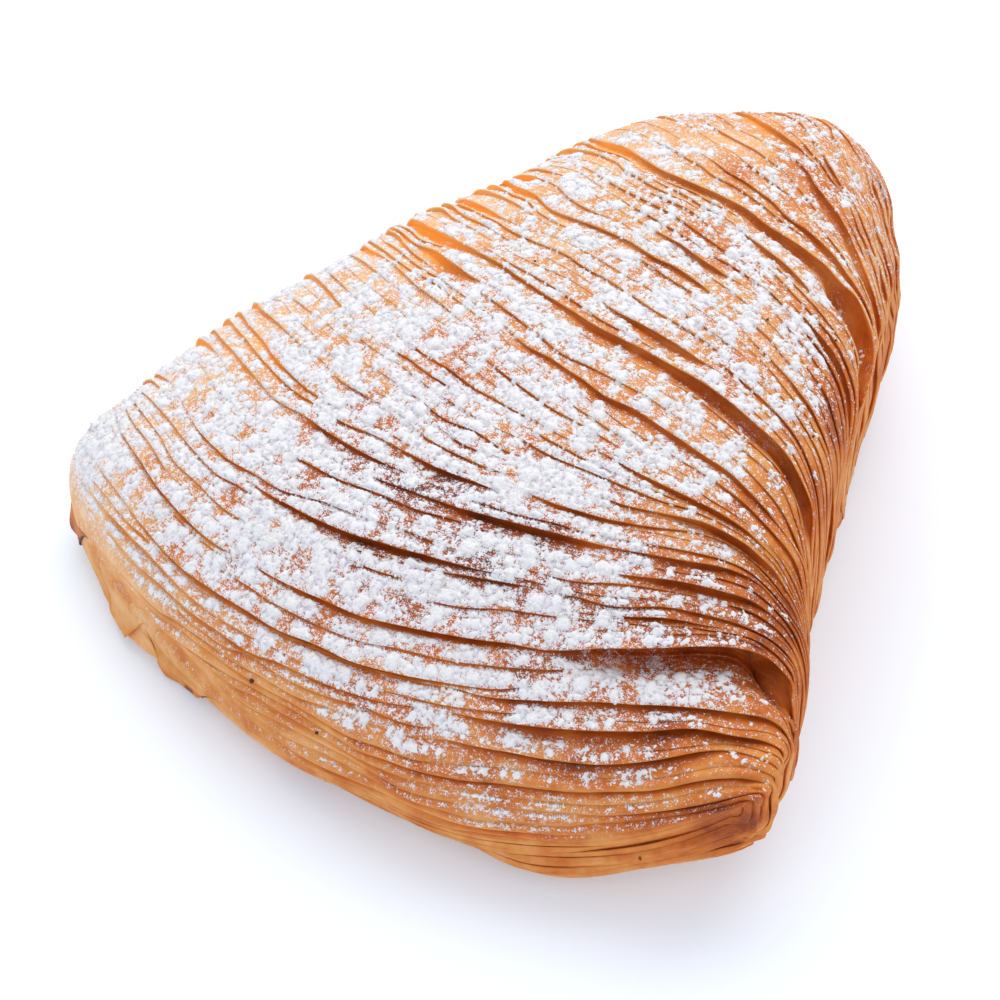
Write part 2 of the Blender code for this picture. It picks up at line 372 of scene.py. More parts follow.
# Broad bulges and hollows: where (along, degrees), how far out in mm, and how wide.
BULGES = (
    (0.40, 150, 2.7, 0.06, 26), (0.26, 132, 2.8, 0.08, 30), (0.15, 115, 0.8, 0.07, 40),
    (0.505, 157, 1.0, 0.03, 18), (0.60, 160, 0.9, 0.035, 20), (0.70, 170, 1.6, 0.05, 18),
    (0.30, -12, -1.4, 0.14, 24), (0.52, 2, -0.7, 0.08, 16), (0.92, 262, -4.0, 0.07, 24),
    (0.87, 230, -2.1, 0.07, 20), (0.825, 207, 1.2, 0.04, 14), (0.89, -42, -0.8, 0.07, 18),
    (0.91, -68, 1.3, 0.05, 14), (0.80, -10, -1.8, 0.05, 16),
    (0.05, 12, -1.0, 0.03, 22), (0.13, 48, 0.8, 0.05, 18), (0.13, -2, 0.5, 0.05, 16),
)


def patches(table, along):
    """Soft round patches added up: where (along, degrees), how much, how wide each way."""
    total = np.zeros_like(along)
    for at, degrees, amount, wide, spread in table:
        off = (angle_degrees - degrees + 180) % 360 - 180
        total = total + amount * np.exp(-((along - at) / wide) ** 2 - (off / spread) ** 2)
    return total


def swell(along):
    """Bulges and soft lumps of the whole shell, continuous across the leaves."""
    lumps = 0.45 * drift(girth_mm / 15, along * 13, 31) + 0.7 * drift(girth_mm / 32, along * 6, 32)
    ribs = 0.42 * drift(along * 62, girth_mm / 14, 33) * smooth(52, 24, turn)
    faded = smooth(0.0, 0.06, along) * smooth(1.0, 0.93, along)
    return (lumps * top_side + ribs + patches(BULGES, along)) * faded


# Rows of points from apex to nose: each leaf from the gap behind it to its lip, then round
# the lip and back underneath.
SECTIONS = (0.0, 0.07, 0.22, 0.45, 0.70, 0.90, 1.0)
rows = []                            # along, height, closeness to the lip, gap, leaf, mm across


def add_row(along, height, edge, hollow, leaf, across):
    rows.append((along, height, edge, hollow, np.full(ROUND_POINTS, float(leaf)), across))


none = np.zeros(ROUND_POINTS)
add_row(none, none, none, none, 0, none)
for k in range(LEAVES + 1):
    back = lip[k - 1] if k else none + 0.004
    front = lip[k] if k < LEAVES else none + FRONT_END
    behind = gap[k - 1] if k else none
    for s in SECTIONS[:-1] if k == LEAVES else SECTIONS:
        along = back + (front - back) * s
        raised = lift[k] * s ** 2.5 + plump[k] * math.sin(math.pi * s) if k < LEAVES else none
        height = swell(along) - sunk(k, along) + raised_before(k, along) + raised
        if s == 0 and k:
            along = back - overhang[k - 1]
        away = (along - back) * (lip_speed[k - 1] if k else 100.0)
        hollow = smooth(1.6, 0.0, away / (0.3 + behind)) * smooth(0.05, 0.9, behind)
        add_row(along, height, none + s ** 4, hollow, k, away)
    if k < LEAVES:
        top = swell(front) - sunk(k, front) + raised_before(k, front) + lift[k]
        add_row(front + 0.10 * np.minimum(1, thick[k] / 0.3) / lip_speed[k], top - 0.5 * thick[k],
                none + 1, none, k, away)
        add_row(front - 0.02 / lip_speed[k], top - thick[k], none + 0.6, none + 0.5, k, away)
        add_row(front - overhang[k], top - thick[k] - 0.25 * (gap[k] - thick[k]),
                none, none + 1, k, away)
add_row(none + 1, none, none, none, LEAVES, none)

rows = np.array(rows).transpose(1, 0, 2)
row_along, row_height, row_edge, row_hollow, row_leaf, across_mm = rows
wide_angle = np.broadcast_to(angle, row_along.shape)
normal = outward(row_along, wide_angle)[0]
shell_points = body(row_along, wide_angle) + normal * row_height[..., None]
shell_points[..., 2] = np.maximum(shell_points[..., 2], 0)
row_count = len(row_along)

# What the colours need at each point.
right_turn = np.broadcast_to(turn, row_along.shape)
girth_row = np.broadcast_to(girth_mm, row_along.shape)

# How deeply the oven browned it, 0 pale to 1 dark: patches over an even gold, with painted shade
# added in the grooves towards the nose.
EVEN_BAKE = 0.50
BROWNING = (
    (0.62, 165, -0.24, 0.15, 28), (0.80, 160, -0.19, 0.12, 34), (0.47, 142, -0.18, 0.12, 28),
    (0.08, 70, 0.11, 0.10, 60), (0.66, 58, 0.18, 0.08, 26), (0.61, 92, 0.22, 0.06, 26),
    (0.95, 4, 0.25, 0.07, 34), (0.93, 30, 0.10, 0.06, 24), (0.68, 18, 0.19, 0.06, 24),
    (0.76, 42, 0.14, 0.05, 30), (0.38, 26, 0.14, 0.04, 26), (0.40, 38, 0.10, 0.025, 22),
    (0.83, 172, 0.12, 0.05, 14), (0.86, 105, -0.03, 0.05, 26), (0.90, 200, -0.14, 0.12, 30),
    (0.55, 12, 0.10, 0.12, 26), (0.92, 60, 0.09, 0.08, 30), (0.875, 236, -0.30, 0.03, 9),
    (0.99, -25, 0.12, 0.04, 22), (0.60, 22, 0.08, 0.06, 20), (0.25, 4, 0.08, 0.10, 20),
    (0.66, 95, 0.08, 0.12, 40), (0.45, 8, 0.06, 0.12, 26),
)
baked = EVEN_BAKE + patches(BROWNING, row_along)
baked += 0.07 * drift(girth_row / 12, row_leaf * 0.6, 41) * (0.5 + 0.5 * top_side)
# painted shade: the grooves between the leaves near the nose are made darker in the colour
baked += 0.20 * row_hollow * smooth(0.70, 0.84, row_along)
baked = np.clip(baked, 0, 1)

# Round the left corner the fibres run out into a plain flaky skin.
corner = smooth(0.60, 0.74, row_along) * smooth(146, 162, angle_degrees)
corner = np.maximum(corner, smooth(0.86, 0.92, row_along) * smooth(112, 136, right_turn))

# Painted light: where the thin leaves gape along the left edge, a brighter orange and a faint glow
# stand in for daylight shining through them.
glow = row_hollow * smooth(112, 142, right_turn) * smooth(0.68, 0.60, row_along)

# Where the sugar fell: heavy over the crown, thin at the apex, the sides and the nose.
DUST_ALONG = ((0.0, 0.10, 0.20, 0.30, 0.40, 0.55, 0.66, 0.74, 0.82, 0.88, 0.95, 1.0),
              (0.32, 0.70, 0.80, 0.70, 0.77, 1.00, 1.08, 0.96, 0.76, 0.70, 0.68, 0.50))
DUST_ROUND = ((0, 14, 24, 34, 50, 75, 120, 140, 158, 168, 180),
              (0.08, 0.24, 0.46, 0.62, 0.84, 1.0, 0.96, 0.92, 1.0, 1.22, 1.1))
dust = np.interp(row_along, *DUST_ALONG) * np.interp(right_turn, *DUST_ROUND)
DRIFTS = (
    (0.84, 112, -0.30, 0.05, 20), (0.92, 76, 0.22, 0.03, 18), (0.70, 166, 0.30, 0.10, 18),
    (0.71, 32, 0.45, 0.025, 14), (0.80, 60, -0.12, 0.04, 30), (0.34, 100, -0.10, 0.08, 40),
    (0.55, 140, -0.12, 0.10, 25), (0.97, 12, 0.25, 0.03, 16), (0.92, 24, 0.32, 0.04, 18),
)
dust = np.clip(dust + patches(DRIFTS, row_along), 0, 1.3)
dust *= np.broadcast_to(np.sin(angle) > 0, row_along.shape)
dust *= 1 - 0.5 * smooth(48, 30, right_turn) * (1 - row_edge)


def face_list(first, last):
    n = ROUND_POINTS
    a = np.arange(first, last)[:, None] * n + np.arange(n)[None, :]
    b = np.arange(first, last)[:, None] * n + (np.arange(n)[None, :] + 1) % n
    return np.stack([a, b, b + n, a + n], -1).reshape(-1, 4) - first * n


def make_mesh(name, points, faces):
    """A smooth-shaded mesh object from points in mm."""
    mesh = bpy.data.meshes.new(name)
    mesh.vertices.add(len(points))
    mesh.vertices.foreach_set("co", (points * MM).astype(np.float32).ravel())
    size = faces.shape[1]
    mesh.loops.add(faces.size)
    mesh.loops.foreach_set("vertex_index", faces.astype(np.int32).ravel())
    mesh.polygons.add(len(faces))
    mesh.polygons.foreach_set("loop_start", np.arange(0, faces.size, size, dtype=np.int32))
    mesh.update(calc_edges=True)
    mesh.validate()
    mesh.shade_smooth()
    piece = bpy.data.objects.new(name, mesh)
    bpy.context.scene.collection.objects.link(piece)
    return piece


def keep(piece, name, values):
    """Store a figure for every point, for the material to read."""
    kind = "FLOAT_VECTOR" if values.ndim == 2 else "FLOAT"
    layer = piece.data.attributes.new(name, kind, "POINT")
    field = "vector" if values.ndim == 2 else "value"
    layer.data.foreach_set(field, values.astype(np.float32).ravel())


# The look upwards from each point: what lies under a lip stays clean of sugar.
flat_points = shell_points.reshape(-1, 3)
all_faces = face_list(0, row_count - 1)
shell_tree = BVHTree.FromPolygons([Vector(p) for p in flat_points], all_faces.tolist())
round_edge = np.roll(shell_points, -1, axis=1) - np.roll(shell_points, 1, axis=1)
true_normal = np.cross(round_edge, np.gradient(shell_points, axis=0))
true_normal /= np.maximum(np.linalg.norm(true_normal, axis=-1, keepdims=True), 1e-9)
UP = Vector((0, 0, 1))
starts = (shell_points + true_normal * 0.06).reshape(-1, 3)
could = (dust.ravel() > 0.01) & (true_normal[..., 2].ravel() > 0.05)
open_to_sky = np.zeros(len(flat_points))
for index in np.flatnonzero(could):
    above = shell_tree.ray_cast(Vector(starts[index]), UP, 25)[3]
    open_to_sky[index] = 1.0 if above is None else 0.5 * smooth(1.2, 3.0, above)
dust *= open_to_sky.reshape(dust.shape)
in_apex_fold = smooth(0.045, 0.02, np.abs(row_along - 0.40)) * smooth(80, 60, right_turn)
dust *= smooth(0.0, 0.42, true_normal[..., 2]) * (1 - 0.7 * row_hollow * (1 - in_apex_fold))


class Tone:
    """An output of a material's nodes; arithmetic on it adds Math nodes."""

    def __init__(self, tree, socket=None):
        self.tree, self.socket = tree, socket

    def node(self, kind, settings, inputs, output=0):
        made = self.tree.nodes.new(kind)
        for name, value in settings.items():
            if name == "stops":
                ramp = made.color_ramp
                for place, colour in value[1:-1]:
                    ramp.elements.new(place).color = colour
                for element, (place, colour) in ((ramp.elements[0], value[0]),
                                                 (ramp.elements[-1], value[-1])):
                    element.position, element.color = place, colour
            else:
                setattr(made, name, value)
        for name, value in inputs.items():
            if isinstance(value, Tone):
                self.tree.links.new(value.socket, made.inputs[name])
            else:
                made.inputs[name].default_value = value
        return Tone(self.tree, made.outputs[output])

    def math(self, operation, *values):
        return self.node("ShaderNodeMath", {"operation": operation}, dict(enumerate(values)))

    def __add__(self, other):
        return self.math("ADD", self, other)

    def __mul__(self, other):
        return self.math("MULTIPLY", self, other)

    def __sub__(self, other):
        return self.math("SUBTRACT", self, other)

    def __rsub__(self, other):
        return self.math("SUBTRACT", other, self)

    __radd__, __rmul__ = __add__, __mul__

    def stored(self, name, output="Fac"):
        return self.node("ShaderNodeAttribute", {"attribute_name": name}, {}, output)

    def noise(self, vector, scale, detail=2.0, rough=0.5):
        return self.node("ShaderNodeTexNoise", {},
                         {"Vector": vector, "Scale": scale, "Detail": detail, "Roughness": rough})

    def rise(self, value, low, high):
        return self.node("ShaderNodeMapRange", {"interpolation_type": "SMOOTHSTEP"},
                         {"Value": value, "From Min": low, "From Max": high})

    def mix(self, share, first, second):
        return self.node("ShaderNodeMix", {"data_type": "RGBA"}, {0: share, 6: first, 7: second}, 2)

    def stretch(self, vector, scale):
        return self.node("ShaderNodeVectorMath", {"operation": "MULTIPLY"}, {0: vector, 1: scale})


def colour(red, green, blue):
    """Screen values 0 to 255 as a linear colour."""
    linear = [((c / 255 + 0.055) / 1.055) ** 2.4 if c > 10 else c / 3294 for c in (red, green, blue)]
    return (*linear, 1.0)


def new_material(name):
    material = bpy.data.materials.new(name)
    material.use_nodes = True
    return material, material.node_tree.nodes["Principled BSDF"], Tone(material.node_tree)


def plug(tree, tone, shader, name):
    tree.links.new(tone.socket, shader.inputs[name])


# The crust: the steps of its bake from pale dough to scorched, streaked along the leaves, with
# painted shade making it darker and warmer inside the gaps, a painted glow along the gaping left
# leaves, and dulled by the finest of the sugar.
POWDER = colour(246, 246, 252)
# Colours of painted shade for the gaps, and of painted light for the glow through the thin left
# leaves.
IN_SHADE, LIT_THROUGH = colour(226, 108, 14), colour(255, 180, 70)
SHINING_THROUGH = (0.17, 0.08, 0.010, 1.0)
BAKE = [(0.00, colour(247, 212, 176)), (0.25, colour(237, 180, 122)), (0.45, colour(222, 148, 74)),
        (0.62, colour(204, 112, 36)), (0.80, colour(158, 72, 17)), (1.00, colour(70, 30, 14))]

crust, shader, t = new_material("baked_crust")
run_xyz = t.stored("leaf_run", "Vector")
edge = t.stored("lip_edge")
hollow = t.stored("hollow")
dusting = t.stored("dusting")
near_sugar = t.stored("near_sugar")
bake_and_groove_shade = t.stored("baked")
corner_here = t.stored("corner")
streaks = t.noise(t.stretch(run_xyz, (0.10, 1.9, 1.0)), 1.0, 3.0, 0.5)
grain = t.noise(t.stretch(run_xyz, (1.1, 4.0, 1.0)), 1.0, 3.0, 0.6)
place = t.node("ShaderNodeTexCoord", {}, {}, "Object")
blotch = t.noise(place, 190.0, 3.0, 0.6)
flaky = t.noise(place, 420.0, 3.0, 0.62)
fibres = (streaks - 0.5) * 0.20 + (grain - 0.5) * 0.14
# the gaps add a little painted shade to the bake, and the lips come out a little paler
bake_and_gap_shade = (bake_and_groove_shade + (blotch - 0.5) * 0.66 + fibres * (1 - corner_here)
                 + (flaky - 0.5) * 0.30 * corner_here + hollow * 0.05 - edge * 0.08)
tint = t.node("ShaderNodeValToRGB", {"stops": BAKE}, {"Fac": bake_and_gap_shade})
# painted shade: the crust turns a deeper, warmer orange inside the gaps behind each lip
tint = t.mix(hollow * 0.16, tint, IN_SHADE)
# painted light: the gaping left leaves turned bright orange as if lit through
tint = t.mix(t.stored("glow") * (0.35 + 0.7 * blotch), tint, LIT_THROUGH)
fine_powder = t.noise(place, 5200.0, 3.0, 0.65)
clustered = t.noise(place, 1500.0, 2.0, 0.6)
powder_level = fine_powder * 0.58 + clustered * 0.42 + near_sugar * 0.19 + dusting * 0.09
powdered = t.rise(powder_level, 0.57, 0.66) * t.rise(dusting, 0.02, 0.12)
tint = t.mix(powdered * 0.86, tint, POWDER)
plug(crust.node_tree, tint, shader, "Base Color")
# painted light: a faint orange emission on the gaping left leaves, though they are no lamp
shining = t.mix(t.stored("glow"), (0, 0, 0, 1), SHINING_THROUGH)
plug(crust.node_tree, shining, shader, "Emission Color")
shader.inputs["Emission Strength"].default_value = 1.0
crust.cycles.emission_sampling = "NONE"
plug(crust.node_tree, 0.52 + 0.2 * grain + 0.2 * powdered, shader, "Roughness")
relief_height = ((streaks * 0.6 + grain * 0.5) * (1 - corner_here) + flaky * 0.9 * corner_here
                 + powdered * 0.5)
relief = t.node("ShaderNodeBump", {}, {"Strength": 0.55, "Distance": 0.00025,
                                      "Height": relief_height}, "Normal")
plug(crust.node_tree, relief, shader, "Normal")
shader.inputs["Subsurface Weight"].default_value = 0.30
shader.inputs["Subsurface Radius"].default_value = (1.0, 0.42, 0.12)
shader.inputs["Subsurface Scale"].default_value = 0.0016
shader.inputs["Specular IOR Level"].default_value = 0.35

# The shell in three pieces end to end, each a run of whole leaves.
SHELL_PARTS = (("leaves_apex", 0, 27), ("leaves_middle", 27, 54), ("leaves_nose", 54, LEAVES + 1))
LEAVES_APART = 7.3                   # no leaf's streaks run on into the next
rows_per_leaf = len(SECTIONS) + 3
leaf_run = np.stack([girth_row, across_mm, row_leaf * LEAVES_APART], -1)
shell_pieces = []
for name, first_leaf, last_leaf in SHELL_PARTS:
    first = 0 if first_leaf == 0 else 1 + first_leaf * rows_per_leaf
    last = row_count - 1 if last_leaf > LEAVES else 1 + last_leaf * rows_per_leaf
    chosen = slice(first, last + 1)
    piece = make_mesh(name, shell_points[chosen].reshape(-1, 3), face_list(first, last))
    for figure, values in (("lip_edge", row_edge * (1 - corner)), ("hollow", row_hollow),
                           ("baked", baked), ("corner", corner), ("glow", glow), ("dusting", dust)):
        keep(piece, figure, values[chosen].ravel())
    keep(piece, "leaf_run", leaf_run[chosen].reshape(-1, 3))
    piece.data.materials.append(crust)
    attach(piece, "root")
    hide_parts("pastry")
    shell_pieces.append((piece, chosen))

# --- The torn leaf ends ----------------------------------------------------------------
# The last turns of the dough end in ragged tails under the wide left corner, thin enough
# to let light through, with edges that caught in the oven.

# The corner's outer edge in plan, mm, running from the left end towards the front.
CORNER_PATH = ((-51.3, -44.0), (-50.5, -49.5), (-48.6, -53.6), (-44.6, -56.8), (-38.6, -58.6),
               (-31.0, -59.6), (-24.0, -59.6), (-14.0, -59.0), (-4.0, -57.8), (6.0, -56.0))
# For each tail: from and to (mm along that edge), height of its root and of its hem, how far
# the hem stands out, its browning and how much of the hem is scorched.
TAILS = ((5.5, 18.0, 9.5, 3.2, 1.2, 0.66, 0.7),
         (21.5, 33.0, 7.0, 1.8, 1.3, 0.34, 0.15),
         (32.5, 47.0, 5.4, 0.7, 2.0, 0.46, 1.0))
TAIL_THICKNESS = 0.85
TAIL_ROWS = 14

path = np.array(CORNER_PATH)
path_mm = np.concatenate([[0.0], np.cumsum(np.linalg.norm(np.diff(path, axis=0), axis=1))])


def edge_at(mm):
    """Plan point so many mm along the corner's edge, and the level direction out from it."""
    place = np.array([np.interp(mm, path_mm, column) for column in path.T])
    step = np.array([np.interp(mm + 1.5, path_mm, column) - np.interp(mm - 1.5, path_mm, column)
                     for column in path.T])
    out = np.array([step[1], -step[0]]) / math.hypot(*step)
    return place, out


def wall_at(mm, z):
    """How far out the shell's wall stands at a height, or None below its rim."""
    place, out = edge_at(mm)
    hit = shell_tree.ray_cast(Vector((*(place + out * 12), z)), Vector((*-out, 0)), 40)[0]
    return None if hit is None else (np.array(hit[:2]) - place) @ out


def tail(start, end, top, hem, stands_out, browned, scorched, seed):
    """One ragged leaf end: points of its outer and inner side, faces, and its figures."""
    count = int((end - start) / 0.22)
    along_mm = np.linspace(start, end, count)
    n = TAIL_ROWS
    outer, outs = np.empty((count, n, 3)), np.empty((count, 1, 3))
    for i, mm in enumerate(along_mm):
        share = i / (count - 1)
        ends = smooth(0, 0.38, share) * smooth(1, 0.62, share)
        bottom = hem + (top - hem) * (1 - ends)
        bottom += (0.8 * drift(mm / 2.8, seed, 71) + 0.4 * drift(mm / 0.9, seed, 72)) * ends
        place, out = edge_at(mm)
        out_by = -99.0
        for row, v in enumerate(np.linspace(0, 1, n)):
            z = max(top + (bottom - top) * v, 0.25)
            reach = wall_at(mm, z)
            reach = out_by - 0.22 if reach is None else reach
            out_by = max(reach, out_by - 0.22)
            curl = (0.5 + 0.5 * drift(mm / 2.2, 9 + seed, 73)) * v ** 2
            flare = -0.35 + 0.42 * smooth(0, 0.4, v) + stands_out * ends * curl
            outer[i, row] = (*(place + out * (out_by + flare)), z)
        outs[i, 0] = (*out, 0)
    for _ in range(2):
        outer[1:-1] = (outer[:-2] + 2 * outer[1:-1] + outer[2:]) / 4
    thickness = TAIL_THICKNESS * np.linspace(1, 0.55, n)[:, None]
    inner = outer - (outs - (0, 0, 0.2)) * thickness
    a = (np.arange(count - 1)[:, None] * n + np.arange(n - 1)).ravel()
    far = count * n
    quads = [np.stack([a, a + 1, a + n + 1, a + n], -1),
             far + np.stack([a, a + n, a + n + 1, a + 1], -1)]
    for rim in (np.arange(count - 1) * n + n - 1, np.arange(count - 1) * n):
        side = np.stack([rim, far + rim, far + rim + n, rim + n], -1)
        quads.append(side if rim[0] else side[:, ::-1])
    for base in (0, (count - 1) * n):
        rim = base + np.arange(n - 1)
        side = np.stack([rim, far + rim, far + rim + 1, rim + 1], -1)
        quads.append(side[:, ::-1] if base == 0 else side)
    v = np.tile(np.linspace(0, 1, n), count)
    mm = np.repeat(along_mm, n)
    in_places = smooth(0.25, 0.6, 0.5 + 0.5 * drift(mm / 1.6, seed, 74))
    at_start = smooth(start + 3.0, start + 0.5, mm) * smooth(0.4, 0.9, v)
    charred = scorched * np.maximum(smooth(0.66, 0.92, v) * in_places, at_start)
    brown = np.clip(browned + 0.16 * smooth(0.6, 1, v) + 0.75 * charred, 0, 1)
    run_mm = np.stack([mm, v * (top - hem), np.full(len(mm), 3.3 * seed)], -1)
    points = np.concatenate([outer.reshape(-1, 3), inner.reshape(-1, 3)])
    return points, np.concatenate(quads), np.tile(brown, 2), np.tile(run_mm, (2, 1))


made, offset = [], 0
for seed, spec in enumerate(TAILS, 5):
    points, quads, brown, run_mm = tail(*spec, seed)
    made.append((points, quads + offset, brown, run_mm))
    offset += len(points)
points, quads, brown, run_mm = (np.concatenate(column) for column in zip(*made))
piece = make_mesh("torn_leaf_ends", points, quads)
keep(piece, "baked", brown)
keep(piece, "leaf_run", run_mm)
keep(piece, "corner", np.full(offset, 1.0))
piece.data.materials.append(crust)
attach(piece, "root")
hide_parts("pastry")


def ball(levels):
    """Points and faces of a unit icosphere."""
    shape = bmesh.new()
    bmesh.ops.create_icosphere(shape, subdivisions=levels, radius=1.0)
    points = np.array([v.co[:] for v in shape.verts])
    faces = np.array([[v.index for v in f.verts] for f in shape.faces])
    shape.free()
    return points, faces


def bits(name, levels, spots, sizes, browned, seed):
    """Rough little bits of crust at given points."""
    unit, faces = ball(levels)
    rng = np.random.default_rng(seed)
    count = len(spots)
    lumps = 1 + rng.uniform(-0.28, 0.28, (count, len(unit), 1))
    squash = rng.uniform(0.6, 1.2, (count, 1, 3))
    points = unit[None] * lumps * squash * np.reshape(sizes, (-1, 1, 1))
    points += np.reshape(spots, (-1, 1, 3))
    faces = (faces[None] + (np.arange(count) * len(unit))[:, None, None]).reshape(-1, 3)
    piece = make_mesh(name, points.reshape(-1, 3), faces)
    keep(piece, "baked", np.repeat(browned + rng.uniform(-0.08, 0.08, count), len(unit)))
    piece.data.materials.append(crust)
    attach(piece, "root")
    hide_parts("pastry")


# A crust of browned crumbs where filling oozed and caught under the front of the corner.
CRUMBS_FROM, CRUMBS_TO, MOST_CRUMBS = 57.5, 66.0, 44
rng = np.random.default_rng(83)
crumb_spots, crumb_sizes = [], []
for mm in np.linspace(CRUMBS_FROM, CRUMBS_TO, MOST_CRUMBS):
    place, out = edge_at(mm)
    z = rng.uniform(1.4, 3.6)
    reach = wall_at(mm, z)
    if reach is not None:
        crumb_spots.append((*(place + out * (reach + rng.uniform(-0.1, 0.25))), z))
        crumb_sizes.append(rng.uniform(0.3, 0.62) * (1 - 0.5 * abs(mm - 62) / 4.5))
bits("browned_crumbs", 2, crumb_spots, crumb_sizes, 0.66, 84)

# A few scorched specks: (along, degrees, radius).
SPECKS = ((0.83, 115, 0.32), (0.862, 105, 0.22), (0.447, 33, 0.22), (0.646, 47, 0.20),
          (0.985, -44, 0.26), (0.375, 50, 0.20), (0.42, 66, 0.18), (0.49, 112, 0.16),
          (0.70, 96, 0.16), (0.60, 38, 0.16))
speck_spots = []
for along, degrees, size in SPECKS:
    at = (np.array([along]), np.radians([degrees]))
    out = outward(*at)[0][0]
    on_shell = shell_tree.find_nearest(Vector(body(*at)[0] + 3 * out))[0]
    speck_spots.append(np.array(on_shell) + 0.3 * size * out)
bits("scorched_specks", 2, speck_spots, [spec[2] for spec in SPECKS], 1.0, 85)

# --- The icing sugar -------------------------------------------------------------------
# Icing sugar shaken through a sieve from above after baking.  It lies where it fell, in
# soft drifts that break up into fluffy clumps, with loose grains round them.

# The ground it fell on: height, slope and how much fell, on a fine level grid.
CELL = 0.19
low, high = flat_points.min(axis=0), flat_points.max(axis=0)
xs = np.arange(low[0], high[0], CELL)
ys = np.arange(low[1], high[1], CELL)
ground = np.full((len(xs), len(ys)), np.nan)
heaped = np.zeros((len(xs), len(ys)))
slope = np.zeros((len(xs), len(ys)))
dust_flat = dust.ravel()
DOWN = Vector((0, 0, -1))
ceiling = high[2] + 5
for i, x in enumerate(xs):
    for j, y in enumerate(ys):
        hit, hit_normal, index, _ = shell_tree.ray_cast(Vector((x, y, ceiling)), DOWN)
        if hit is None:
            continue
        ground[i, j] = hit.z
        slope[i, j] = abs(hit_normal.z)
        heaped[i, j] = dust_flat[all_faces[index]].mean()

grid_x, grid_y = np.meshgrid(xs, ys, indexing="ij")


def flurry(size, seed):
    """Patchiness of one size over the plan, turned so that no two sizes line up."""
    c, s = math.cos(seed), math.sin(seed)
    return drift((grid_x * c - grid_y * s) / size, (grid_x * s + grid_y * c) / size, seed)


# Patches of every size from broad drifts to single specks.
patchy = sum(amount * flurry(size, seed) for amount, size, seed in
             ((0.18, 3.0, 51), (0.36, 1.5, 52), (0.34, 0.80, 53), (0.16, 0.40, 56)))
rank = np.empty(patchy.size)
rank[np.argsort(patchy, axis=None)] = np.linspace(0, 1, patchy.size)
rank = rank.reshape(patchy.shape)
MOST_COVERED = 0.67                  # share of the ground under sugar where it fell thickest
rng = np.random.default_rng(77)
margin = rank - (1 - MOST_COVERED * heaped)      # above 0 where sugar has piled up
margin += 0.08 * rng.uniform(-1, 1, margin.shape) * smooth(0.25, 0.0, np.abs(margin))
margin = np.where(np.isnan(ground) | (heaped < 0.02), -1, margin)

# Puffs of four sizes: radius, share of the sugared cells that start one, least margin,
# height over radius.
CLUMP_PUFF = 0.46
PUFFS = ((0.80, 0.007, 0.12, 0.50), (CLUMP_PUFF, 0.026, 0.08, 0.62),
         (0.30, 0.06, 0.0, 0.70), (0.18, 0.13, -0.05, 0.80))
SUNK_EDGE = -0.09                    # a drift's rim lies this far under the leaf's surface
TEAR = 0.46                          # it tears where the ground steps by more than this
warp_x = grid_x + 0.16 * flurry(0.5, 54)
warp_y = grid_y + 0.16 * flurry(0.5, 55)
ragged = 0.34 * rng.uniform(-1, 1, ground.shape)
heap = np.zeros(ground.shape)
big_puffs = []
for radius, share, least, tall in PUFFS:
    cells = np.flatnonzero((rng.random(margin.shape) < share) & (margin > least))
    for i, j in zip(*np.unravel_index(cells, margin.shape)):
        r = radius * rng.uniform(0.6, 1.3) * (0.5 + 0.5 * min(1.0, heaped[i, j] / 0.85))
        r *= 1 - 0.25 * smooth(14, 44, ys[j])
        x, y = xs[i] + rng.uniform(-0.5, 0.5) * CELL, ys[j] + rng.uniform(-0.5, 0.5) * CELL
        reach = int(r * 1.4 / CELL) + 2
        window = (slice(max(0, i - reach), i + reach + 1), slice(max(0, j - reach), j + reach + 1))
        d2 = ((warp_x[window] - x) ** 2 + (warp_y[window] - y) ** 2) / r ** 2
        d2 += ragged[window] * smooth(0.3, 1.0, d2)
        heap[window] += (tall * r) ** 3 * np.clip(1 - d2, 0, 1) ** 1.5
        if radius == CLUMP_PUFF:
            big_puffs.append((i, j, r))
heap = np.cbrt(heap)
grainy = rng.uniform(-0.5, 0.5, ground.shape)
pile = np.where((heap > 0.02) & (margin > -0.5), np.maximum(heap + 0.12 * grainy, 0.03), SUNK_EDGE)

# The four corners of every cell of the sheet, and the cells where it tears.
corners = [(slice(None, -1), slice(None, -1)), (slice(1, None), slice(None, -1)),
           (slice(1, None), slice(1, None)), (slice(None, -1), slice(1, None))]
stack = np.stack([ground[c] for c in corners])
torn = ~(np.ptp(stack, axis=0) < TEAR)
for c in corners:
    pile[c] = np.where(torn, np.minimum(pile[c], SUNK_EDGE), pile[c])
covered = np.stack([pile[c] for c in corners]).max(axis=0) > 0
used = covered & ~torn
index = np.arange(ground.size).reshape(ground.shape)


def blurred(field, times):
    for axis in (0, 1) * times:
        field = sum(np.roll(field, step, axis) for step in (-2, -1, 0, 1, 2)) / 5
    return field


# How far each point lies below the sugar round it, which the sugar's colour turns into painted shade
# in its creases, and a thin film of sugar on the leaves round the patches, which the crust's own
# colour shows.
crease = blurred(np.maximum(pile, 0), 1) - np.maximum(pile, 0)
film = blurred(np.clip(pile, 0, 0.3) / 0.3, 3)
for piece, chosen in shell_pieces:
    spots = shell_points[chosen].reshape(-1, 3)
    at_i = np.clip(((spots[:, 0] - low[0]) / CELL).round().astype(int), 0, len(xs) - 1)
    at_j = np.clip(((spots[:, 1] - low[1]) / CELL).round().astype(int), 0, len(ys) - 1)
    keep(piece, "near_sugar", film[at_i, at_j] * (dust[chosen].ravel() > 0.01))

sugar, shader, t = new_material("icing_sugar")
place = t.node("ShaderNodeTexCoord", {}, {}, "Object")
crumbly = t.noise(place, 4200.0, 4.0, 0.65)
soft = t.noise(place, 700.0, 2.0, 0.5)
